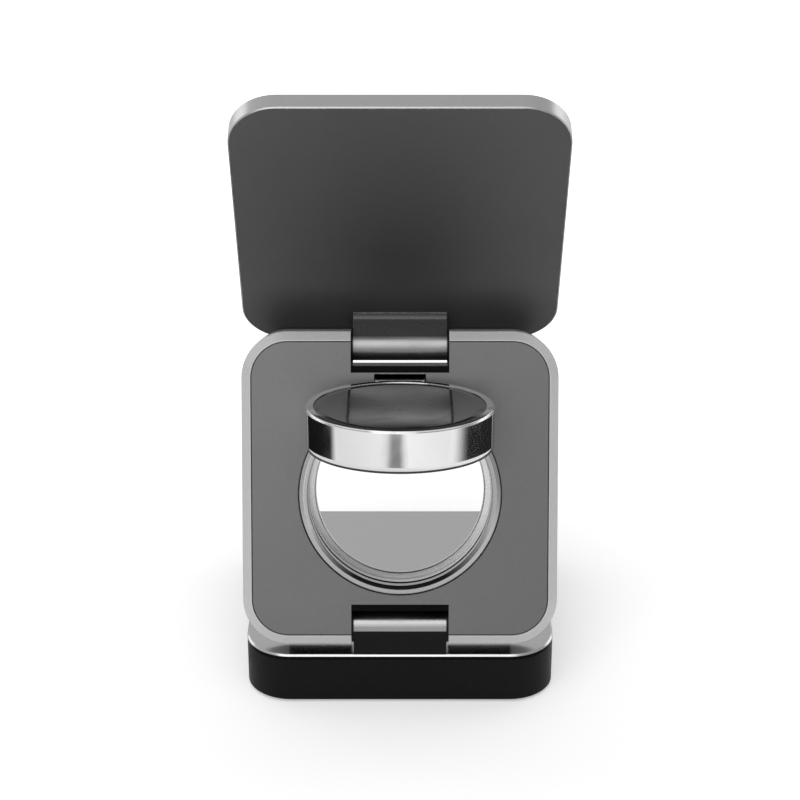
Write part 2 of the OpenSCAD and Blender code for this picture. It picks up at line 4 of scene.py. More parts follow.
import bpy
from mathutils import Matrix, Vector


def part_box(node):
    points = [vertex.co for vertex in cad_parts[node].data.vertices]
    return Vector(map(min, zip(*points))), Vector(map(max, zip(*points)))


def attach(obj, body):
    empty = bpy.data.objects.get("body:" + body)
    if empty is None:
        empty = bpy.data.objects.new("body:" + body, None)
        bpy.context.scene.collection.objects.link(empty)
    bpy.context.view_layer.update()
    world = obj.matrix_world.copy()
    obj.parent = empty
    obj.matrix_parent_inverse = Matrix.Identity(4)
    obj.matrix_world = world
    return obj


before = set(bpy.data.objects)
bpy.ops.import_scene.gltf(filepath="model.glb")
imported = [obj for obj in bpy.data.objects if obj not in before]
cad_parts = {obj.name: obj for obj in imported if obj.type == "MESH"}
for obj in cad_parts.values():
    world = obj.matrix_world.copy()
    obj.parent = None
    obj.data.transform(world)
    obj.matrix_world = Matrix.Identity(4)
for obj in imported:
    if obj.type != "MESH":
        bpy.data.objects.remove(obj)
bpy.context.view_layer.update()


# Base tray. The black housing under the base, injection moulded in a filled nylon with a fine
# spark-eroded grain, its rim rubbed a little shiny where fingers lift the charger.
# It is screwed up into the plate from below.
def new_finish(name, roughness, metallic=0.0, **numbers):
    """A material of one Principled shader; the numbers that hold all over sit on its own sockets."""
    finish = bpy.data.materials.new(name)
    finish.use_nodes = True
    shader = finish.node_tree.nodes["Principled BSDF"]
    shader.inputs["Roughness"].default_value = roughness
    shader.inputs["Metallic"].default_value = metallic
    for socket, value in numbers.items():
        shader.inputs[socket.replace("_", " ").title().replace("Ior", "IOR")].default_value = value
    return finish


def put(tree, kind, feeds=None, **settings):
    """Adds a node; each of its feeds is a plain value or another node's output."""
    node = tree.nodes.new(kind)
    for name, value in settings.items():
        setattr(node, name, value)
    for socket, value in (feeds or {}).items():
        if isinstance(value, bpy.types.NodeSocket):
            tree.links.new(value, node.inputs[socket])
        else:
            node.inputs[socket].default_value = value
    return node


def new_effect(name, takes, gives):
    """An empty node group that several finishes share, with its tree, its input and its output node."""
    effect = bpy.data.node_groups.new(name, "ShaderNodeTree")
    for label, kind, value in takes:
        socket = effect.interface.new_socket(name=label, in_out="INPUT", socket_type="NodeSocket" + kind)
        if value is not None:
            socket.default_value = value
    for label, kind in gives:
        effect.interface.new_socket(name=label, in_out="OUTPUT", socket_type="NodeSocket" + kind)
    return effect, effect.nodes.new("NodeGroupInput"), effect.nodes.new("NodeGroupOutput")


def use_effect(tree, effect, **feeds):
    """Places a shared effect in a material, with this material's own values."""
    node = tree.nodes.new("ShaderNodeGroup")
    node.node_tree = effect
    for label, value in feeds.items():
        socket = node.inputs[label.replace("_", " ").capitalize()]
        if isinstance(value, bpy.types.NodeSocket):
            tree.links.new(value, socket)
        else:
            socket.default_value = value
    return node


def ramp(tree, factor, low, high, to_low=0.0, to_high=1.0):
    """A number mapped from one range to another and held inside it."""
    feeds = {"Value": factor, "From Min": low, "From Max": high, "To Min": to_low, "To Max": to_high}
    return put(tree, "ShaderNodeMapRange", feeds).outputs["Result"]


def sums(tree, operation, first, second=0.0):
    """One step of arithmetic on numbers."""
    return put(tree, "ShaderNodeMath", {0: first, 1: second}, operation=operation).outputs[0]


def mix(tree, mask, first, second):
    """Two colours mixed by a mask."""
    node = put(tree, "ShaderNodeMix", data_type="RGBA")
    for index, value in ((0, mask), (6, first), (7, second)):
        if isinstance(value, bpy.types.NodeSocket):
            tree.links.new(value, node.inputs[index])
        else:
            node.inputs[index].default_value = value
    return node.outputs[2]


def tone(value, warmth=0.0):
    """A grey as a colour, leaning a little warm or cool."""
    return (value * (1 + warmth), value, value * (1 - warmth), 1)


def place(tree, turn=0.0, stretch=(1, 1, 1)):
    """The piece's own coordinates in metres, turned about the hinge direction to lie along a tilted plate."""
    coords = put(tree, "ShaderNodeTexCoord").outputs["Object"]
    feeds = {"Vector": coords, "Rotation": (-turn, 0, 0)}
    turned = put(tree, "ShaderNodeMapping", feeds, vector_type="POINT").outputs[0]
    return put(tree, "ShaderNodeMapping", {"Vector": turned, "Scale": stretch}).outputs[0]


def finish_with(finish, colour=None, roughness=None, normal=None):
    """Joins what changes over the surface to the material's shader."""
    shader = finish.node_tree.nodes["Principled BSDF"]
    for socket, value in (("Base Color", colour), ("Roughness", roughness), ("Normal", normal)):
        if isinstance(value, bpy.types.NodeSocket):
            finish.node_tree.links.new(value, shader.inputs[socket])
        elif value is not None:
            shader.inputs[socket].default_value = value


def bump(tree, height, depth, normal=None):
    """Relief of a height in metres, on top of the rounded edges' normal where one is given."""
    feeds = {"Height": height, "Strength": 1.0, "Distance": depth}
    if normal is not None:
        feeds["Normal"] = normal
    return put(tree, "ShaderNodeBump", feeds).outputs["Normal"]


def dress(finish, *nodes):
    """Gives CAD nodes their finish."""
    for name in nodes:
        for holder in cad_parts[name].material_slots:
            holder.material = finish


# the fine even grain of a moulded or blasted surface, grains of a size in metres
grain, takes, gives = new_effect(
    "grain",
    [("Vector", "Vector", None), ("Size", "Float", 0.0003)],
    [("Height", "Float"), ("Shade", "Float")],
)
at = takes.outputs["Vector"]
per_metre = sums(grain, "DIVIDE", 1.0, takes.outputs["Size"])
fine = put(grain, "ShaderNodeTexNoise", {"Vector": at, "Scale": per_metre, "Detail": 3.0})
broad = put(grain, "ShaderNodeTexNoise", {"Vector": at, "Scale": sums(grain, "MULTIPLY", per_metre, 0.31)})
fine_part = sums(grain, "MULTIPLY", fine.outputs["Fac"], 0.7)
both = sums(grain, "ADD", fine_part, sums(grain, "MULTIPLY", broad.outputs["Fac"], 0.3))
grain.links.new(both, gives.inputs["Height"])
grain.links.new(ramp(grain, both, 0.3, 0.7), gives.inputs["Shade"])

# edges that are rounded by polishing, and a mask of them that breaks up where handling has worn them
edges, takes, gives = new_effect(
    "edges",
    [("Vector", "Vector", None), ("Radius", "Float", 0.0001), ("Breakup", "Float", 900.0)],
    [("Normal", "Vector"), ("Wear", "Float")],
)
rounded = put(edges, "ShaderNodeBevel", {"Radius": takes.outputs["Radius"]}, samples=6).outputs["Normal"]
facing = put(edges, "ShaderNodeNewGeometry").outputs["Normal"]
match = put(edges, "ShaderNodeVectorMath", {0: rounded, 1: facing}, operation="DOT_PRODUCT").outputs["Value"]
edge_mask = ramp(edges, match, 0.999, 0.93)
chip_noise = {"Vector": takes.outputs["Vector"], "Scale": takes.outputs["Breakup"], "Detail": 4.0}
chips = put(edges, "ShaderNodeTexNoise", chip_noise)
worn = sums(edges, "MULTIPLY", edge_mask, ramp(edges, chips.outputs["Fac"], 0.38, 0.62))
edges.links.new(rounded, gives.inputs["Normal"])
edges.links.new(worn, gives.inputs["Wear"])

# what handling leaves: broad finger smears, and sparse hair scratches
handling, takes, gives = new_effect(
    "handling",
    [("Vector", "Vector", None), ("Smear size", "Float", 0.02)],
    [("Smear", "Float"), ("Scratch", "Float")],
)
at = takes.outputs["Vector"]
smear_scale = sums(handling, "DIVIDE", 1.0, takes.outputs["Smear size"])
clouds = {"Vector": at, "Scale": smear_scale, "Detail": 5.0, "Roughness": 0.62, "Distortion": 0.8}
smears = put(handling, "ShaderNodeTexNoise", clouds)
handling.links.new(ramp(handling, smears.outputs["Fac"], 0.36, 0.68), gives.inputs["Smear"])
scratch = None
for angle, spread in ((0.35, 47.0), (1.9, 61.0)):
    drawn_out = {"Vector": at, "Rotation": (angle, angle, angle), "Scale": (spread, 2600.0, spread)}
    laid = put(handling, "ShaderNodeMapping", drawn_out)
    lines = put(handling, "ShaderNodeTexNoise", {"Vector": laid.outputs[0], "Scale": 1.0, "Detail": 1.0})
    found = ramp(handling, lines.outputs["Fac"], 0.78, 0.82)
    scratch = found if scratch is None else sums(handling, "MAXIMUM", scratch, found)
handling.links.new(scratch, gives.inputs["Scratch"])

tray_finish = new_finish("moulded_black", 0.45, specular_ior_level=0.12)
tree = tray_finish.node_tree
coords = place(tree)
skin = use_effect(tree, grain, vector=coords, size=0.00045)
worn = use_effect(tree, edges, vector=coords, radius=0.00012, breakup=700.0)
touched = use_effect(tree, handling, vector=coords, smear_size=0.018)
shade = mix(tree, skin.outputs["Shade"], tone(0.003), tone(0.0055))
shade = mix(tree, sums(tree, "MULTIPLY", worn.outputs["Wear"], 0.5), shade, tone(0.03))
finish_with(
    tray_finish,
    colour=shade,
    roughness=ramp(tree, touched.outputs["Smear"], 0, 1, 0.38, 0.52),
    normal=bump(tree, skin.outputs["Height"], 0.00003, worn.outputs["Normal"]),
)
dress(tray_finish, "base_tray")

# Base plate. The light top of the base, a 1.2 mm aluminium plate, bead blasted and clear anodised,
# with a diamond-cut chamfer left bright all round and its edge below that sprayed black like the tray.
# It is glued and screwed onto the tray and carries the lower hinge block.
def blasted(name, dark, light, roughness, turn=0.0, grain_size=0.00028, metallic=1.0, shade_off=None):
    """Bead-blasted and anodised aluminium between two grey levels, lying along a plate's tilt.

    shade_off(tree, coords) gives a mask of what is black instead."""
    finish = new_finish(name, roughness, metallic)
    tree = finish.node_tree
    coords = place(tree, turn)
    skin = use_effect(tree, grain, vector=coords, size=grain_size)
    worn = use_effect(tree, edges, vector=coords, radius=0.0001, breakup=1100.0)
    touched = use_effect(tree, handling, vector=coords, smear_size=0.03)
    colour = mix(tree, skin.outputs["Shade"], tone(dark), tone(light))
    colour = mix(tree, sums(tree, "MULTIPLY", worn.outputs["Wear"], 0.45), colour, tone(0.8))
    marks = sums(tree, "MULTIPLY", touched.outputs["Scratch"], 0.05)
    colour = mix(tree, marks, colour, tone(0.75))
    rough = ramp(tree, touched.outputs["Smear"], 0, 1, roughness - 0.035, roughness + 0.035)
    if shade_off is not None:
        black = shade_off(tree, coords)
        colour = mix(tree, black, colour, tone(0.005))
        metal = ramp(tree, black, 0, 1, metallic, 0)
        tree.links.new(metal, tree.nodes["Principled BSDF"].inputs["Metallic"])
        shine = ramp(tree, black, 0, 1, 0.5, 0.02)
        tree.links.new(shine, tree.nodes["Principled BSDF"].inputs["Specular IOR Level"])
    finish_with(finish, colour, rough, bump(tree, skin.outputs["Height"], 0.000006, worn.outputs["Normal"]))
    return finish


def below_chamfer(tree, coords):
    """The plate's edge under its bright chamfer, and its hidden underside, both sprayed black."""
    height = put(tree, "ShaderNodeSeparateXYZ", {"Vector": coords}).outputs["Z"]
    return ramp(tree, height, 0.01124, 0.0112)


dress(blasted("clear_anodised", 0.5, 0.53, 0.22, shade_off=below_chamfer), "base_plate")

# Rubber foot. A 0.6 mm pad of black silicone over the screws, with small moulded studs for grip.
# It is stuck to the underside of the tray.
foot_finish = new_finish("studded_rubber", 0.7, specular_ior_level=0.3)
tree = foot_finish.node_tree
coords = place(tree)
skin = use_effect(tree, grain, vector=coords, size=0.0006)
stud_grid = {"Vector": coords, "Scale": 640.0, "Randomness": 0.0}
studs = put(tree, "ShaderNodeTexVoronoi", stud_grid, voronoi_dimensions="2D")
stud_top = ramp(tree, studs.outputs["Distance"], 0.42, 0.2)
dust = put(tree, "ShaderNodeTexNoise", {"Vector": coords, "Scale": 160.0, "Detail": 6.0})
between_studs = sums(tree, "SUBTRACT", 1.0, stud_top)
dusty = sums(tree, "MULTIPLY", ramp(tree, dust.outputs["Fac"], 0.5, 0.75), between_studs)
shade = mix(tree, skin.outputs["Shade"], tone(0.016), tone(0.024))
shade = mix(tree, sums(tree, "MULTIPLY", dusty, 0.3), shade, tone(0.1, 0.05))
height = sums(tree, "ADD", stud_top, sums(tree, "MULTIPLY", skin.outputs["Height"], 0.25))
finish_with(foot_finish, shade, ramp(tree, stud_top, 0, 1, 0.78, 0.58), bump(tree, height, 0.00012))
dress(foot_finish, "rubber_foot")

# Ballast plate. A blanked zinc-plated steel plate that keeps the open stand from tipping,
# dropped into the tray between the posts.
def plain_steel(name, dark, light, roughness, lay=(1, 1, 1)):
    """Plated or ground steel, its faint lines drawn out along one direction."""
    finish = new_finish(name, roughness, 1.0)
    tree = finish.node_tree
    coords = place(tree, stretch=lay)
    drawing = {"Vector": coords, "Scale": 900.0, "Detail": 4.0, "Roughness": 0.6}
    lines = put(tree, "ShaderNodeTexNoise", drawing)
    worn = use_effect(tree, edges, vector=place(tree), radius=0.00008, breakup=1300.0)
    colour = mix(tree, ramp(tree, lines.outputs["Fac"], 0.3, 0.7), tone(dark), tone(light, 0.01))
    colour = mix(tree, sums(tree, "MULTIPLY", worn.outputs["Wear"], 0.4), colour, tone(0.75))
    rough = ramp(tree, lines.outputs["Fac"], 0.3, 0.7, roughness - 0.06, roughness + 0.06)
    finish_with(finish, colour, rough, bump(tree, lines.outputs["Fac"], 0.000004, worn.outputs["Normal"]))
    return finish


dress(plain_steel("zinc_plate", 0.42, 0.55, 0.36), "ballast_plate")

# Boards. Green solder-masked laminate with copper tracks under the mask. The base board is screwed
# to posts inside the tray, the watch coil's board lies in the middle plate, and the phone coil's
# board is glued behind that coil.
board_finish = new_finish("solder_mask", 0.35, specular_ior_level=0.5)
tree = board_finish.node_tree
coords = place(tree)
track_grid = {"Vector": coords, "Scale": 420.0, "Mortar Size": 0.035}
tracks = put(tree, "ShaderNodeTexBrick", track_grid, offset=0.37, squash=0.6)
tracked = ramp(tree, tracks.outputs["Fac"], 0.4, 0.6)
weave = put(tree, "ShaderNodeTexNoise", {"Vector": coords, "Scale": 3200.0, "Detail": 2.0})
shade = mix(tree, ramp(tree, weave.outputs["Fac"], 0.3, 0.7), (0.008, 0.075, 0.03, 1), (0.012, 0.1, 0.04, 1))
shade = mix(tree, tracked, shade, (0.03, 0.17, 0.06, 1))
finish_with(board_finish, shade, 0.35, bump(tree, tracked, 0.00003))
dress(board_finish, "base_board", "watch_board", "phone_board")

# Board parts. Chips in black epoxy and shielded chokes, picked, placed and reflow soldered
# to the base board.
chip_finish = new_finish("epoxy_body", 0.55, specular_ior_level=0.4)
tree = chip_finish.node_tree
coords = place(tree)
skin = use_effect(tree, grain, vector=coords, size=0.0002)
worn = use_effect(tree, edges, vector=coords, radius=0.00008, breakup=1500.0)
shade = mix(tree, skin.outputs["Shade"], tone(0.014), tone(0.024))
finish_with(chip_finish, shade, 0.55, bump(tree, skin.outputs["Height"], 0.00001, worn.outputs["Normal"]))
dress(chip_finish, "board_parts")

# Power inlet. A drawn stainless shell, nickel bright inside, soldered to the board
# and open through the tray's rear wall.
bright_metal = plain_steel("drawn_shell", 0.5, 0.62, 0.24, lay=(1, 0.15, 1))
dress(bright_metal, "power_inlet")

# Inlet tongue. A thin blade of black plastic, moulded round the tails of the gold contacts
# that it carries on both faces, and held in the middle of the shell.
tongue_finish = new_finish("tongue_plastic", 0.4, specular_ior_level=0.45)
tree = tongue_finish.node_tree
coords = place(tree)
skin = use_effect(tree, grain, vector=coords, size=0.00015)
worn = use_effect(tree, edges, vector=coords, radius=0.00006, breakup=2000.0)
shade = mix(tree, skin.outputs["Shade"], tone(0.01), tone(0.018))
finish_with(tongue_finish, shade, 0.4, bump(tree, skin.outputs["Height"], 0.000006, worn.outputs["Normal"]))
dress(tongue_finish, "inlet_tongue")

# Inlet contacts. Twelve thin springs let into each face of the tongue, stamped from bronze
# and plated with gold.
def blocks(name, boxes):
    """One mesh of plain blocks, each given by its lowest and highest corner in metres."""
    points, sides = [], []
    for low, high in boxes:
        first = len(points)
        points += [(x, y, z) for x in (low[0], high[0]) for y in (low[1], high[1]) for z in (low[2], high[2])]
        for side in ((0, 1, 3, 2), (4, 6, 7, 5), (0, 4, 5, 1), (2, 3, 7, 6), (0, 2, 6, 4), (1, 5, 7, 3)):
            sides.append([first + corner for corner in side])
    mesh = bpy.data.meshes.new(name)
    mesh.from_pydata(points, [], sides)
    piece = bpy.data.objects.new(name, mesh)
    bpy.context.scene.collection.objects.link(piece)
    return piece


tongue_low, tongue_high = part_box("inlet_tongue")
spring_pitch = 0.0005
half_spring = 0.00013
stand_up = 0.00003
spring_back = tongue_high[1] - 0.0032
spring_front = tongue_high[1] - 0.0004
springs = []
for number in range(12):
    x = (number - 5.5) * spring_pitch
    for face in (tongue_low[2], tongue_high[2]):
        low = (x - half_spring, spring_back, face - stand_up)
        high = (x + half_spring, spring_front, face + stand_up)
        springs.append((low, high))
contacts = blocks("inlet_contacts", springs)
gold_finish = new_finish("gold_plate", 0.22, 1.0)
tree = gold_finish.node_tree
coords = place(tree, stretch=(1, 0.2, 1))
rubbed = put(tree, "ShaderNodeTexNoise", {"Vector": coords, "Scale": 2600.0, "Detail": 3.0})
shade = mix(tree, rubbed.outputs["Fac"], (0.72, 0.44, 0.12, 1), (0.86, 0.58, 0.2, 1))
finish_with(gold_finish, shade, ramp(tree, rubbed.outputs["Fac"], 0.3, 0.7, 0.16, 0.3))
contacts.data.materials.append(gold_finish)
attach(contacts, "base")

# Coils. Each is a flat spiral of varnished stranded copper wire, wound on its ferrite
# and held with a trace of lacquer.
def wound_copper(name, centre, turn=0.0, pitch=0.0006):
    """Copper wire in a flat spiral about a centre, for a disc that lies at a tilt."""
    finish = new_finish(name, 0.3, 1.0, coat_weight=0.6, coat_roughness=0.25)
    tree = finish.node_tree
    coords = put(tree, "ShaderNodeTexCoord").outputs["Object"]
    moved = put(tree, "ShaderNodeMapping", {"Vector": coords, "Location": [-c for c in centre]}).outputs[0]
    flat = put(tree, "ShaderNodeMapping", {"Vector": moved, "Rotation": (-turn, 0, 0)}).outputs[0]
    split = put(tree, "ShaderNodeSeparateXYZ", {"Vector": flat})
    across = sums(tree, "MULTIPLY", split.outputs["X"], split.outputs["X"])
    along = sums(tree, "MULTIPLY", split.outputs["Y"], split.outputs["Y"])
    radius = sums(tree, "SQRT", sums(tree, "ADD", across, along))
    angle = sums(tree, "ARCTAN2", split.outputs["Y"], split.outputs["X"])
    wound = sums(tree, "ADD", sums(tree, "DIVIDE", radius, pitch), sums(tree, "DIVIDE", angle, math.tau))
    crown = sums(tree, "ABSOLUTE", sums(tree, "SINE", sums(tree, "MULTIPLY", wound, math.pi)))
    strands = put(tree, "ShaderNodeTexNoise", {"Vector": coords, "Scale": 4200.0, "Detail": 2.0})
    strand_mask = ramp(tree, strands.outputs["Fac"], 0.3, 0.7)
    colour = mix(tree, strand_mask, (0.5, 0.17, 0.06, 1), (0.72, 0.3, 0.13, 1))
    # painted shade: the valleys between the turns of wire are painted dark
    colour = mix(tree, ramp(tree, crown, 0.0, 0.45), (0.12, 0.04, 0.02, 1), colour)
    height = sums(tree, "ADD", crown, sums(tree, "MULTIPLY", strands.outputs["Fac"], 0.12))
    finish_with(finish, colour, 0.3, bump(tree, height, 0.00015))
    return finish


def centre_of(node):
    """The middle of a CAD node's box."""
    low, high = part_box(node)
    return (low + high) / 2


dress(wound_copper("base_winding", centre_of("earbud_coil")), "earbud_coil")

# Ferrites. Sintered sheets, dull charcoal with a fine broken grain, glued behind each coil
# to turn its field outward.
ferrite_finish = new_finish("sintered_ferrite", 0.6, specular_ior_level=0.4)
tree = ferrite_finish.node_tree
coords = place(tree)
skin = use_effect(tree, grain, vector=coords, size=0.0005)
cracks = put(tree, "ShaderNodeTexVoronoi", {"Vector": coords, "Scale": 420.0}, feature="DISTANCE_TO_EDGE")
shade = mix(tree, skin.outputs["Shade"], tone(0.03), tone(0.055, 0.05))
shade = mix(tree, ramp(tree, cracks.outputs["Distance"], 0.03, 0.0), shade, tone(0.012))
finish_with(ferrite_finish, shade, 0.6, bump(tree, skin.outputs["Height"], 0.00002))
dress(ferrite_finish, "earbud_ferrite", "watch_ferrite", "phone_ferrite")

# Screws. Small machine screws, case hardened and blackened in an oxide bath, that hold the tray
# and the hinge blocks.
dress(
    plain_steel("black_oxide", 0.035, 0.06, 0.34),
    "base_screws",
    "lower_block_screws",
    "upper_block_screws",
)

# Lower hinge block. A die-cast zinc block: its leaf is sprayed gloss black, and its barrel, which turns
# in the middle plate's notch, is masked off from the spray and polished bare.
def barrel_and_leaf(name, axis, leaf_way, dark, light, gloss, shine):
    """A leaf sprayed between two greys that leaves a hinge axis one way, and a polished bare barrel.

    axis and leaf_way are y and z."""
    finish = new_finish(name, gloss, specular_ior_level=shine)
    tree = finish.node_tree
    coords = place(tree)
    worn = use_effect(tree, edges, vector=coords, radius=0.00018, breakup=900.0)
    touched = use_effect(tree, handling, vector=coords, smear_size=0.009)
    split = put(tree, "ShaderNodeSeparateXYZ", {"Vector": coords})
    off_y = sums(tree, "MULTIPLY", sums(tree, "SUBTRACT", split.outputs["Y"], axis[0]), leaf_way[0])
    off_z = sums(tree, "MULTIPLY", sums(tree, "SUBTRACT", split.outputs["Z"], axis[1]), leaf_way[1])
    bare = ramp(tree, sums(tree, "ADD", off_y, off_z), 0.0001, -0.0001)
    flake = put(tree, "ShaderNodeTexNoise", {"Vector": coords, "Scale": 5200.0, "Detail": 2.0})
    sprayed = mix(tree, ramp(tree, flake.outputs["Fac"], 0.35, 0.7), tone(dark), tone(light))
    sprayed = mix(tree, sums(tree, "MULTIPLY", worn.outputs["Wear"], 0.3), sprayed, tone(0.3))
    polished = mix(tree, touched.outputs["Smear"], tone(0.35), tone(0.38))
    tree.links.new(bare, tree.nodes["Principled BSDF"].inputs["Metallic"])
    spray_gloss = ramp(tree, touched.outputs["Smear"], 0, 1, gloss - 0.04, gloss + 0.06)
    rough = sums(tree, "ADD", sums(tree, "MULTIPLY", bare, 0.14), spray_gloss)
    finish_with(finish, mix(tree, bare, sprayed, polished), rough, worn.outputs["Normal"])
    return finish


lower_axis = (-0.02925, 0.0172)
downward = (0, -1)
dress(
    barrel_and_leaf("black_leaf", lower_axis, downward, 0.003, 0.005, 0.16, 0.15),
    "lower_hinge_block",
)

# Hinge pins. Steel pins, ground to size and pressed through the barrels and the puck's knuckle,
# bright at their ends.
dress(
    plain_steel("ground_pin", 0.5, 0.6, 0.22, lay=(0.1, 1, 1)),
    "lower_hinge_pin",
    "upper_hinge_pin",
    "puck_hinge_pin",
)

# Hinge bushes. Sintered bronze friction bushes that hold the plates where they are put,
# dark with the oil in their pores.
bronze_finish = new_finish("oiled_bronze", 0.42, 1.0)
tree = bronze_finish.node_tree
coords = place(tree)
skin = use_effect(tree, grain, vector=coords, size=0.00018)
shade = mix(tree, skin.outputs["Shade"], (0.2, 0.11, 0.045, 1), (0.38, 0.23, 0.1, 1))
finish_with(bronze_finish, shade, 0.42, bump(tree, skin.outputs["Height"], 0.000012))
dress(bronze_finish, "lower_hinge_bushes", "upper_hinge_bushes")

# Thrust washers. Black nylon washers on the pins, that fill the gap between each hinge block
# and the sides of its notch.
def washer(name, centre, inner, outer, thickness):
    """A flat washer whose axis is the hinge direction."""
    points, sides, count = [], [], 72
    for x in (-thickness / 2, thickness / 2):
        for radius in (inner, outer):
            for step in range(count):
                turn = math.tau * step / count
                y = centre[1] + radius * math.cos(turn)
                z = centre[2] + radius * math.sin(turn)
                points.append((centre[0] + x, y, z))
    for step in range(count):
        after = (step + 1) % count
        for first, second in ((0, 1), (1, 3), (3, 2), (2, 0)):
            a, b = first * count, second * count
            sides.append((a + step, a + after, b + after, b + step))
    mesh = bpy.data.meshes.new(name)
    mesh.from_pydata(points, [], sides)
    piece = bpy.data.objects.new(name, mesh)
    bpy.context.scene.collection.objects.link(piece)
    return piece


nylon_finish = new_finish("black_nylon", 0.5, specular_ior_level=0.2)
tree = nylon_finish.node_tree
coords = place(tree)
skin = use_effect(tree, grain, vector=coords, size=0.0003)
shade = mix(tree, skin.outputs["Shade"], tone(0.006), tone(0.011))
finish_with(nylon_finish, shade, 0.5, bump(tree, skin.outputs["Height"], 0.00001))
upper_axis = (-0.009693, 0.072122)
beside_barrel = 0.009875
washer_bore = 0.00105
washer_rim = 0.0037
washer_thickness = 0.0003
for hinge, (y, z) in (("lower", lower_axis), ("upper", upper_axis)):
    for side, x in (("left", -beside_barrel), ("right", beside_barrel)):
        name = f"{hinge}_{side}_thrust_washer"
        nylon = washer(name, (x, y, z), washer_bore, washer_rim, washer_thickness)
        nylon.data.materials.append(nylon_finish)
        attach(nylon, "middle")

# Middle frame. A machined aluminium plate with broad bevels, bead blasted and anodised light grey,
# with a side pocket, the ring's bore, and a notch for each hinge; the walls of the notches and
# its closed lower end are painted near-black as shade.
lean = math.radians(70.4)
notch_half = 0.01005


def notch_shade(tree, coords):
    """The notches' walls and the closed lower end of the middle plate."""
    # painted shade: the notches' walls and the plate's lower end, which sit in shade, are painted near-black
    split = put(tree, "ShaderNodeSeparateXYZ", {"Vector": coords})
    off = sums(tree, "ABSOLUTE", split.outputs["X"])
    notch = ramp(tree, off, notch_half + 0.00004, notch_half + 0.00002)
    low_end_shade = ramp(tree, split.outputs["Y"], 0.00317, 0.00315)
    return sums(tree, "MAXIMUM", notch, low_end_shade)


dress(
    blasted("light_grey_anodised", 0.54, 0.59, 0.38, turn=lean, metallic=0.3, shade_off=notch_shade),
    "middle_frame",
)

# Near and far panels. Thin sheets of darker anodised aluminium let into both faces of the frame
# and glued down, a hair below the bevel, with a fine dark line of glue all round and at the ring,
# and painted black shade along their edges at the hinge notches.
def off_outline(tree, coords, half_width, low, high, corner):
    """How far a point lies outside a rounded rectangle between two ends of a plate; negative inside."""
    split = put(tree, "ShaderNodeSeparateXYZ", {"Vector": coords})
    across = sums(tree, "SUBTRACT", sums(tree, "ABSOLUTE", split.outputs["X"]), half_width - corner)
    along = sums(tree, "ABSOLUTE", sums(tree, "SUBTRACT", split.outputs["Y"], (low + high) / 2))
    along = sums(tree, "SUBTRACT", along, (high - low) / 2 - corner)
    out_x = sums(tree, "MAXIMUM", across, 0.0)
    out_y = sums(tree, "MAXIMUM", along, 0.0)
    square = sums(tree, "ADD", sums(tree, "MULTIPLY", out_x, out_x), sums(tree, "MULTIPLY", out_y, out_y))
    within = sums(tree, "MINIMUM", sums(tree, "MAXIMUM", across, along), 0.0)
    return sums(tree, "SUBTRACT", sums(tree, "ADD", sums(tree, "SQRT", square), within), corner)


def from_centre(tree, coords, centre_y):
    """Distance from a point on a plate's middle line, measured over the plate."""
    split = put(tree, "ShaderNodeSeparateXYZ", {"Vector": coords})
    along = sums(tree, "SUBTRACT", split.outputs["Y"], centre_y)
    square = sums(tree, "MULTIPLY", split.outputs["X"], split.outputs["X"])
    return sums(tree, "SQRT", sums(tree, "ADD", square, sums(tree, "MULTIPLY", along, along)))


ring_along = 0.034391
flange_radius = 0.0209
sleeve_hole = 0.01987


def seams_and_notch_shade(tree, coords, hole=flange_radius):
    """The thin dark line at the panel's outline and round its hole, and painted shade at the edge of each
    hinge notch.
    """
    outline = off_outline(tree, coords, half_width=0.0306, low=0.00504, high=0.06604, corner=0.0076)
    rim = ramp(tree, outline, -0.00026, -0.0002)
    ring = ramp(tree, from_centre(tree, coords, ring_along), hole + 0.00018, hole + 0.00013)
    ring = sums(tree, "MULTIPLY", ring, 0.4)
    split = put(tree, "ShaderNodeSeparateXYZ", {"Vector": coords})
    # painted shade: the panel's edges along each hinge notch are painted black
    low_lip = ramp(tree, split.outputs["Y"], 0.01154, 0.0115)
    lip_end = sums(tree, "MAXIMUM", low_lip, ramp(tree, split.outputs["Y"], 0.05954, 0.05958))
    off = sums(tree, "ABSOLUTE", split.outputs["X"])
    lip_side = ramp(tree, off, notch_half + 0.00004, notch_half)
    shaded_lip = sums(tree, "MULTIPLY", lip_end, lip_side)
    return sums(tree, "MAXIMUM", shaded_lip, sums(tree, "MULTIPLY", sums(tree, "MAXIMUM", rim, ring), 0.85))


def far_glue_line(tree, coords):
    """The same lines and painted shade on the far panel, whose hole is as wide as the ring's sleeve only."""
    return seams_and_notch_shade(tree, coords, sleeve_hole)


dress(blasted("near_anodised", 0.157, 0.174, 0.4, turn=lean, shade_off=seams_and_notch_shade), "near_panel")
dress(blasted("far_anodised", 0.157, 0.174, 0.4, turn=lean, shade_off=far_glue_line), "far_panel")

# Ring bezel. Turned stainless steel, pressed into the middle plate: its recess wall and the ledge that
# the puck stows on are satin. Painted shade darkens the upper recess wall, and the ledge towards the bottom;
# a black band round the wall, strongest at the bottom, is a painted reflection; the black line at the lip
# is a dark gap line with painted shade that makes it strongest at the bottom.
ring_finish = new_finish("turned_ring", 0.28)
tree = ring_finish.node_tree
coords = place(tree, lean)
worn = use_effect(tree, edges, vector=coords, radius=0.00012, breakup=1300.0)
touched = use_effect(tree, handling, vector=coords, smear_size=0.012)
shade = mix(tree, touched.outputs["Smear"], tone(0.6), tone(0.68))
shade = mix(tree, sums(tree, "MULTIPLY", worn.outputs["Wear"], 0.15), shade, tone(0.9))
recess_radius = 0.01895
face_height = 0.0384
split = put(tree, "ShaderNodeSeparateXYZ", {"Vector": coords})
along = split.outputs["Y"]
height = split.outputs["Z"]
radius = from_centre(tree, coords, ring_along)
near_side = ramp(tree, height, face_height - 0.0002, face_height)
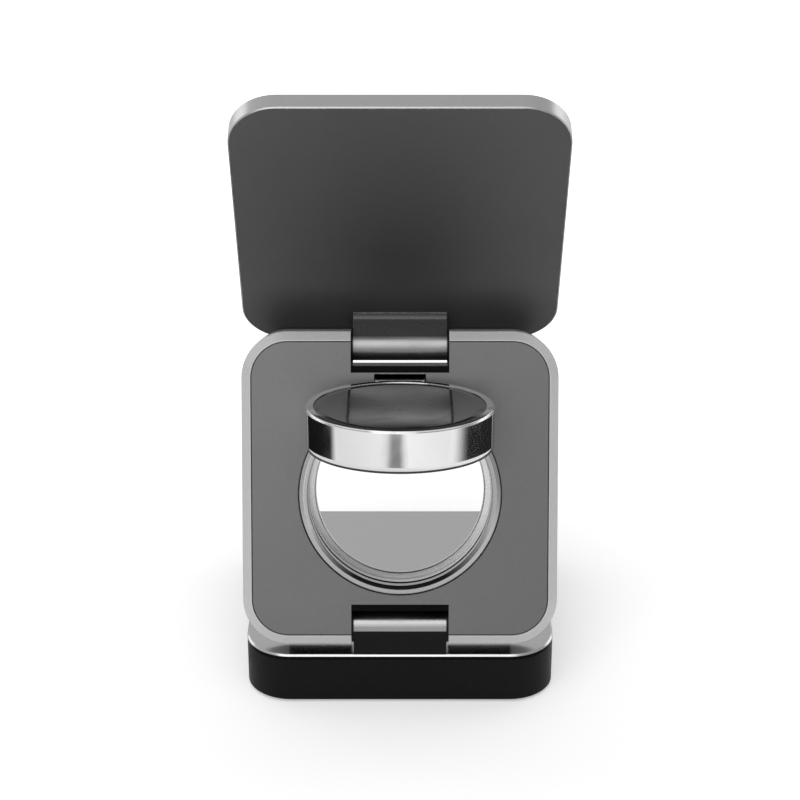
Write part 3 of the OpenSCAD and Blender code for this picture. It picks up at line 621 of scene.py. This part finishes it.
upper_wall = ramp(tree, height, face_height - 0.0032, face_height - 0.0026)
upper_wall = sums(tree, "MULTIPLY", upper_wall, sums(tree, "SUBTRACT", 1.0, near_side))
# painted shade: the upper part of the recess wall is painted darker
wall_shade = ramp(tree, radius, recess_radius - 0.00006, recess_radius - 0.00002)
wall_shade = sums(tree, "MULTIPLY", wall_shade, upper_wall)
shade = mix(tree, sums(tree, "MULTIPLY", wall_shade, 0.75), shade, tone(0.2))
shade = mix(tree, sums(tree, "MULTIPLY", near_side, 0.6), shade, tone(0.38))
# the lip's black line: a dark gap line, with painted shade that makes it strongest at the bottom
shaded_lip = sums(tree, "MULTIPLY", ramp(tree, radius, 0.0199, 0.0197), near_side)
shaded_lip = sums(tree, "MULTIPLY", shaded_lip, ramp(tree, along, 0.028, 0.0175, 0.22, 1.0))
# painted reflection: a black band round the recess wall, strongest at the bottom
band_low = ramp(tree, height, face_height - 0.005, face_height - 0.0044)
band = sums(tree, "MULTIPLY", band_low, ramp(tree, height, face_height - 0.0022, face_height - 0.0028))
band = sums(tree, "MULTIPLY", band, ramp(tree, radius, recess_radius - 0.00027, recess_radius - 0.00023))
band = sums(tree, "MULTIPLY", band, ramp(tree, along, 0.044, 0.026, 0.55, 1.0))
# painted shade: the ledge is painted darker towards the bottom
ledge_shade = ramp(tree, height, face_height - 0.0064, face_height - 0.0074)
ledge_shade = sums(tree, "MULTIPLY", ledge_shade, ramp(tree, along, 0.03, 0.0165, 0.0, 0.85))
shade = mix(tree, ledge_shade, shade, tone(0.3))
# the painted lip shade and reflection band, black and without metal shine
black = sums(tree, "MAXIMUM", shaded_lip, band)
shade = mix(tree, black, shade, tone(0.012))
tree.links.new(sums(tree, "SUBTRACT", 1.0, black), tree.nodes["Principled BSDF"].inputs["Metallic"])
shine = ramp(tree, black, 0, 1, 0.5, 0.0)
tree.links.new(shine, tree.nodes["Principled BSDF"].inputs["Specular IOR Level"])
rough = ramp(tree, touched.outputs["Smear"], 0, 1, 0.24, 0.32)
finish_with(ring_finish, shade, rough, worn.outputs["Normal"])
dress(ring_finish, "ring_bezel")

# Flat lead. Orange polyimide film with copper runs laminated in it, led from the base
# up to the watch coil's board.
film_finish = new_finish("polyimide_film", 0.3, specular_ior_level=0.5)
tree = film_finish.node_tree
coords = place(tree)
stripes = {"Vector": coords, "Scale": 160.0, "Distortion": 0.0}
runs = put(tree, "ShaderNodeTexWave", stripes, bands_direction="X")
shade = mix(tree, ramp(tree, runs.outputs["Fac"], 0.35, 0.6), (0.5, 0.17, 0.02, 1), (0.62, 0.27, 0.06, 1))
finish_with(film_finish, shade, 0.3, bump(tree, runs.outputs["Fac"], 0.00001))
dress(film_finish, "flex_lead")

# Watch puck shell. A drawn and mirror-polished stainless cup with its arm and knuckle,
# which swings out of the ring on the puck pin; its underside is coated black.
puck_lean = math.radians(-9)
puck_finish = new_finish("mirror_polished", 0.06)
tree = puck_finish.node_tree
coords = place(tree, puck_lean)
worn = use_effect(tree, edges, vector=coords, radius=0.0002, breakup=900.0)
touched = use_effect(tree, handling, vector=coords, smear_size=0.01)
shade = mix(tree, touched.outputs["Smear"], tone(0.76), tone(0.8))
height = put(tree, "ShaderNodeSeparateXYZ", {"Vector": coords}).outputs["Z"]
coated = ramp(tree, height, 0.05695, 0.05688)
shade = mix(tree, coated, shade, tone(0.01))
tree.links.new(sums(tree, "SUBTRACT", 1.0, coated), tree.nodes["Principled BSDF"].inputs["Metallic"])
gloss = ramp(tree, touched.outputs["Smear"], 0, 1, 0.06, 0.1)
rough = sums(tree, "ADD", gloss, sums(tree, "MULTIPLY", coated, 0.3))
finish_with(puck_finish, shade, rough, worn.outputs["Normal"])
dress(puck_finish, "puck_shell")

# Puck face. A shallow dish of glossy black acrylic, moulded and glued into the cup, that centres
# what lies on it. The watch coil is under it, and the centring magnet in the coil.
face_finish = new_finish("acrylic_face", 0.1, specular_ior_level=0.55, coat_weight=0.4, coat_roughness=0.04)
tree = face_finish.node_tree
coords = place(tree)
touched = use_effect(tree, handling, vector=coords, smear_size=0.011)
worn = use_effect(tree, edges, vector=coords, radius=0.00015, breakup=900.0)
shade = mix(tree, touched.outputs["Smear"], tone(0.006), tone(0.01))
shade = mix(tree, sums(tree, "MULTIPLY", touched.outputs["Scratch"], 0.3), shade, tone(0.08))
rough = ramp(tree, touched.outputs["Smear"], 0, 1, 0.06, 0.18)
finish_with(face_finish, shade, rough, worn.outputs["Normal"])
dress(face_finish, "puck_face")
dress(wound_copper("watch_winding", centre_of("watch_coil"), turn=puck_lean), "watch_coil")
dress(bright_metal, "watch_magnet")

# Upper hinge block. The phone panel's twin of the lower block, its leaf sprayed a very dark grey
# to sit with the back sheet, its bare barrel in the middle plate's top notch.
phone_lean = math.radians(116.9)
toward_panel = (math.sin(phone_lean), -math.cos(phone_lean))
dress(
    barrel_and_leaf("dark_leaf", upper_axis, toward_panel, 0.05, 0.06, 0.28, 0.5),
    "upper_hinge_block",
)

# Phone frame. A machined aluminium tray, blasted and anodised light grey, with a bright
# diamond-cut chamfer round the back sheet.
dress(blasted("frame_anodised", 0.47, 0.51, 0.32, turn=phone_lean), "phone_frame")

# Back sheet. A plain sheet of aluminium, fine blasted and anodised dark grey, and glued
# into the phone frame.
dress(blasted("dark_anodised", 0.112, 0.124, 0.6, turn=phone_lean), "back_sheet")

# Phone cover. The sheet on the phone's side of the panel, moulded in plastic with a soft
# matt black skin, and set into the frame round the disc.
cover_finish = new_finish("soft_touch_black", 0.6, specular_ior_level=0.3)
tree = cover_finish.node_tree
coords = place(tree, phone_lean)
skin = use_effect(tree, grain, vector=coords, size=0.0004)
touched = use_effect(tree, handling, vector=coords, smear_size=0.02)
shade = mix(tree, skin.outputs["Shade"], tone(0.011), tone(0.016))
shade = mix(tree, sums(tree, "MULTIPLY", touched.outputs["Smear"], 0.3), shade, tone(0.022))
rough = ramp(tree, touched.outputs["Smear"], 0, 1, 0.62, 0.52)
finish_with(cover_finish, shade, rough, bump(tree, skin.outputs["Height"], 0.00002))
dress(cover_finish, "phone_cover")

# Phone disc. A turned aluminium disc that stands up from the panel and holds the magnets and coil,
# satin anodised like the frame.
dress(blasted("disc_anodised", 0.5, 0.55, 0.28, turn=phone_lean), "phone_disc")

# Disc pad. A moulded pad of soft grey silicone, glued into the disc, that the phone lies against.
# The ring of plated magnets and the phone coil are under it.
pad_finish = new_finish("soft_silicone", 0.6, specular_ior_level=0.35, sheen_weight=0.15, sheen_roughness=0.5)
tree = pad_finish.node_tree
coords = place(tree)
skin = use_effect(tree, grain, vector=coords, size=0.00035)
touched = use_effect(tree, handling, vector=coords, smear_size=0.014)
shade = mix(tree, skin.outputs["Shade"], tone(0.022), tone(0.032))
shade = mix(tree, sums(tree, "MULTIPLY", touched.outputs["Smear"], 0.25), shade, tone(0.05))
rough = ramp(tree, touched.outputs["Smear"], 0, 1, 0.52, 0.66)
finish_with(pad_finish, shade, rough, bump(tree, skin.outputs["Height"], 0.00002))
dress(pad_finish, "disc_pad")
dress(wound_copper("phone_winding", centre_of("phone_coil"), turn=phone_lean), "phone_coil")
dress(bright_metal, "magnet_ring")

# Floor. A wide white sweep that the stand rests on: it shows white to the camera, a little
# brighter on the right in reflections, and keeps the stand's soft shadow.
reach = 4.0
floor_corners = [(-reach, -reach, 0), (reach, -reach, 0), (reach, reach, 0), (-reach, reach, 0)]
floor_mesh = bpy.data.meshes.new("floor")
floor_mesh.from_pydata(floor_corners, [], [(0, 1, 2, 3)])
floor = bpy.data.objects.new("floor", floor_mesh)
bpy.context.scene.collection.objects.link(floor)
floor_finish = bpy.data.materials.new("white_sweep")
floor_finish.use_nodes = True
tree = floor_finish.node_tree
tree.nodes.clear()
path = put(tree, "ShaderNodeLightPath")
spot = put(tree, "ShaderNodeTexCoord").outputs["Object"]
in_front = (0, -0.12, 0)
far_off = put(tree, "ShaderNodeVectorMath", {0: spot, 1: in_front}, operation="DISTANCE").outputs["Value"]
whiter = ramp(tree, far_off, 0.15, 0.45, 0.35, 0.8)
to_camera = sums(tree, "MULTIPLY", path.outputs["Is Camera Ray"], whiter)
mirrored = sums(tree, "MAXIMUM", path.outputs["Is Glossy Ray"], path.outputs["Is Transmission Ray"])
across = put(tree, "ShaderNodeSeparateXYZ", {"Vector": spot}).outputs["X"]
in_metal = sums(tree, "MULTIPLY", mirrored, ramp(tree, across, 0.0, 0.08, 0.15, 0.27))
matt = put(tree, "ShaderNodeBsdfDiffuse", {"Color": (0.8, 0.8, 0.8, 1)})
lift = put(tree, "ShaderNodeEmission", {"Strength": sums(tree, "MAXIMUM", to_camera, in_metal)})
both = put(tree, "ShaderNodeAddShader", {0: matt.outputs[0], 1: lift.outputs[0]})
put(tree, "ShaderNodeOutputMaterial", {"Surface": both.outputs[0]})
floor_mesh.materials.append(floor_finish)

# Reflection cards. Glowing black and grey sheets laid on the sweep out of the picture and seen only in
# reflections:
# they are painted reflections that give the mirror-polished puck dark edges and a grey middle, and fade to a
# glow as white as the sweep.
def reflection_card(name, corners, level, white, axis, fade):
    """A flat card on the sweep, corners in millimetres, seen only in reflections.

    Along one axis it fades to the sweep's white: fade holds the white, full, full and white places."""
    mesh = bpy.data.meshes.new(name)
    mesh.from_pydata([(x / 1000, y / 1000, 0.0005) for x, y in corners], [], [range(len(corners))])
    reflection_paint = bpy.data.materials.new(name)
    reflection_paint.use_nodes = True
    tree = reflection_paint.node_tree
    tree.nodes.clear()
    coords = put(tree, "ShaderNodeTexCoord").outputs["Object"]
    place_along = put(tree, "ShaderNodeSeparateXYZ", {"Vector": coords}).outputs[axis]
    start, first, last, end = [value / 1000 for value in fade]
    rise = {"Value": place_along, "From Min": start, "From Max": first}
    rises = put(tree, "ShaderNodeMapRange", rise, interpolation_type="SMOOTHSTEP")
    fall = {"Value": place_along, "From Min": end, "From Max": last}
    falls = put(tree, "ShaderNodeMapRange", fall, interpolation_type="SMOOTHSTEP")
    solid = sums(tree, "MINIMUM", rises.outputs[0], falls.outputs[0])
    shown = ramp(tree, solid, 0, 1, white, level)
    # the sheet glows, though it is no lamp, to paint the reflection
    glow = put(tree, "ShaderNodeEmission", {"Color": tone(1.0), "Strength": shown})
    put(tree, "ShaderNodeOutputMaterial", {"Surface": glow.outputs[0]})
    mesh.materials.append(reflection_paint)
    sheet = bpy.data.objects.new(name, mesh)
    sheet.visible_camera = False
    sheet.visible_diffuse = False
    sheet.visible_shadow = False
    sheet.visible_transmission = False
    bpy.context.scene.collection.objects.link(sheet)


left_side = [(-58, 128), (-108, 120), (-155, 98), (-200, 66), (-245, 0), (-272, -60), (-285, -100)]
left_side += [(-225, -110), (-214, -76), (-190, -22), (-140, 28), (-104, 54), (-76, 70), (-52, 82)]
reflection_card("left_card", left_side, 0.008, 0.92, "Y", (-95, -45, 126, 132))
right_side = [(58, 128), (108, 120), (155, 98), (200, 66), (245, 0), (300, -100), (320, -210)]
right_side += [(225, -205), (225, -108), (190, -22), (140, 28), (104, 54), (76, 70), (52, 82)]
reflection_card("right_card", right_side, 0.02, 1.04, "Y", (-190, -50, 126, 132))
in_the_middle = [(-170, -450), (70, -450), (75, -640), (-180, -640)]
reflection_card("middle_card", in_the_middle, 0.2, 0.92, "X", (-150, -65, -15, 60))

# World. A white room: plain white to the camera, and in all else lighter behind the stand and on
# the left, and dim far out at both sides, so that metal shows the room's gradient.
world = bpy.data.worlds.new("studio")
bpy.context.scene.world = world
world.use_nodes = True
tree = world.node_tree
tree.nodes.clear()
direction = put(tree, "ShaderNodeTexCoord").outputs["Generated"]
split = put(tree, "ShaderNodeSeparateXYZ", {"Vector": direction})
room = ramp(tree, split.outputs["Y"], -0.9, 0.6, 0.62, 0.85)
room = sums(tree, "MULTIPLY", room, ramp(tree, split.outputs["X"], -1, 1, 1.18, 0.82))
sides = ramp(tree, sums(tree, "ABSOLUTE", split.outputs["X"]), 0.93, 0.995, 1.0, 0.2)
room = sums(tree, "MULTIPLY", room, sides)
path = put(tree, "ShaderNodeLightPath")
level = sums(tree, "MAXIMUM", sums(tree, "MULTIPLY", path.outputs["Is Camera Ray"], 1.25), room)
out = put(tree, "ShaderNodeBackground", {"Strength": level})
put(tree, "ShaderNodeOutputWorld", {"Surface": out.outputs[0]})

# Lamps. Five soft boxes: a wide one overhead in front, a key from the left front, a weak fill on the
# right that metal doesn't mirror, and a rim light behind each side for the phone panel's corners.
def soft_box(name, spot, aim, width, depth, power):
    """A rectangular area lamp at a place in metres, facing a point."""
    lamp = bpy.data.lights.new(name, "AREA")
    lamp.shape = "RECTANGLE"
    lamp.size, lamp.size_y = width, depth
    lamp.energy = power
    holder = bpy.data.objects.new(name, lamp)
    holder.location = spot
    holder.rotation_euler = (Vector(aim) - Vector(spot)).to_track_quat("-Z", "Y").to_euler()
    holder.visible_camera = False
    bpy.context.scene.collection.objects.link(holder)
    return holder


soft_box("overhead", (-0.1, -0.66, 0.94), (0, 0, 0.08), 0.9, 0.9, 4.0)
soft_box("left_key", (-0.3, -1.05, 0.45), (0, 0, 0.06), 0.9, 0.6, 1.7)
right_fill = soft_box("right_fill", (0.8, -0.45, 0.3), (0, 0, 0.06), 0.4, 0.5, 0.15)
right_fill.visible_glossy = False
soft_box("left_rim", (-0.8, 0.55, 0.3), (0, 0, 0.1), 0.5, 0.6, 0.8)
soft_box("right_rim", (0.8, 0.55, 0.3), (0, 0, 0.1), 0.5, 0.6, 1.1)

# Camera. It looks down at the stand from straight in front through a long lens,
# as the photograph does.
aim = Vector((0, -0.02925, 0.0622))
elevation = math.radians(25.54)
distance = 0.419
back = Vector((0, -math.cos(elevation), math.sin(elevation)))
camera_data = bpy.data.cameras.new("camera")
camera_data.sensor_width = 36.0
camera_data.lens = 94.23
camera_data.shift_y = 0.0377
camera = bpy.data.objects.new("camera", camera_data)
camera.location = aim + back * distance
camera.rotation_euler = (-back).to_track_quat("-Z", "Y").to_euler()
bpy.context.scene.collection.objects.link(camera)
bpy.context.scene.camera = camera
bpy.context.scene.view_settings.view_transform = "Standard"
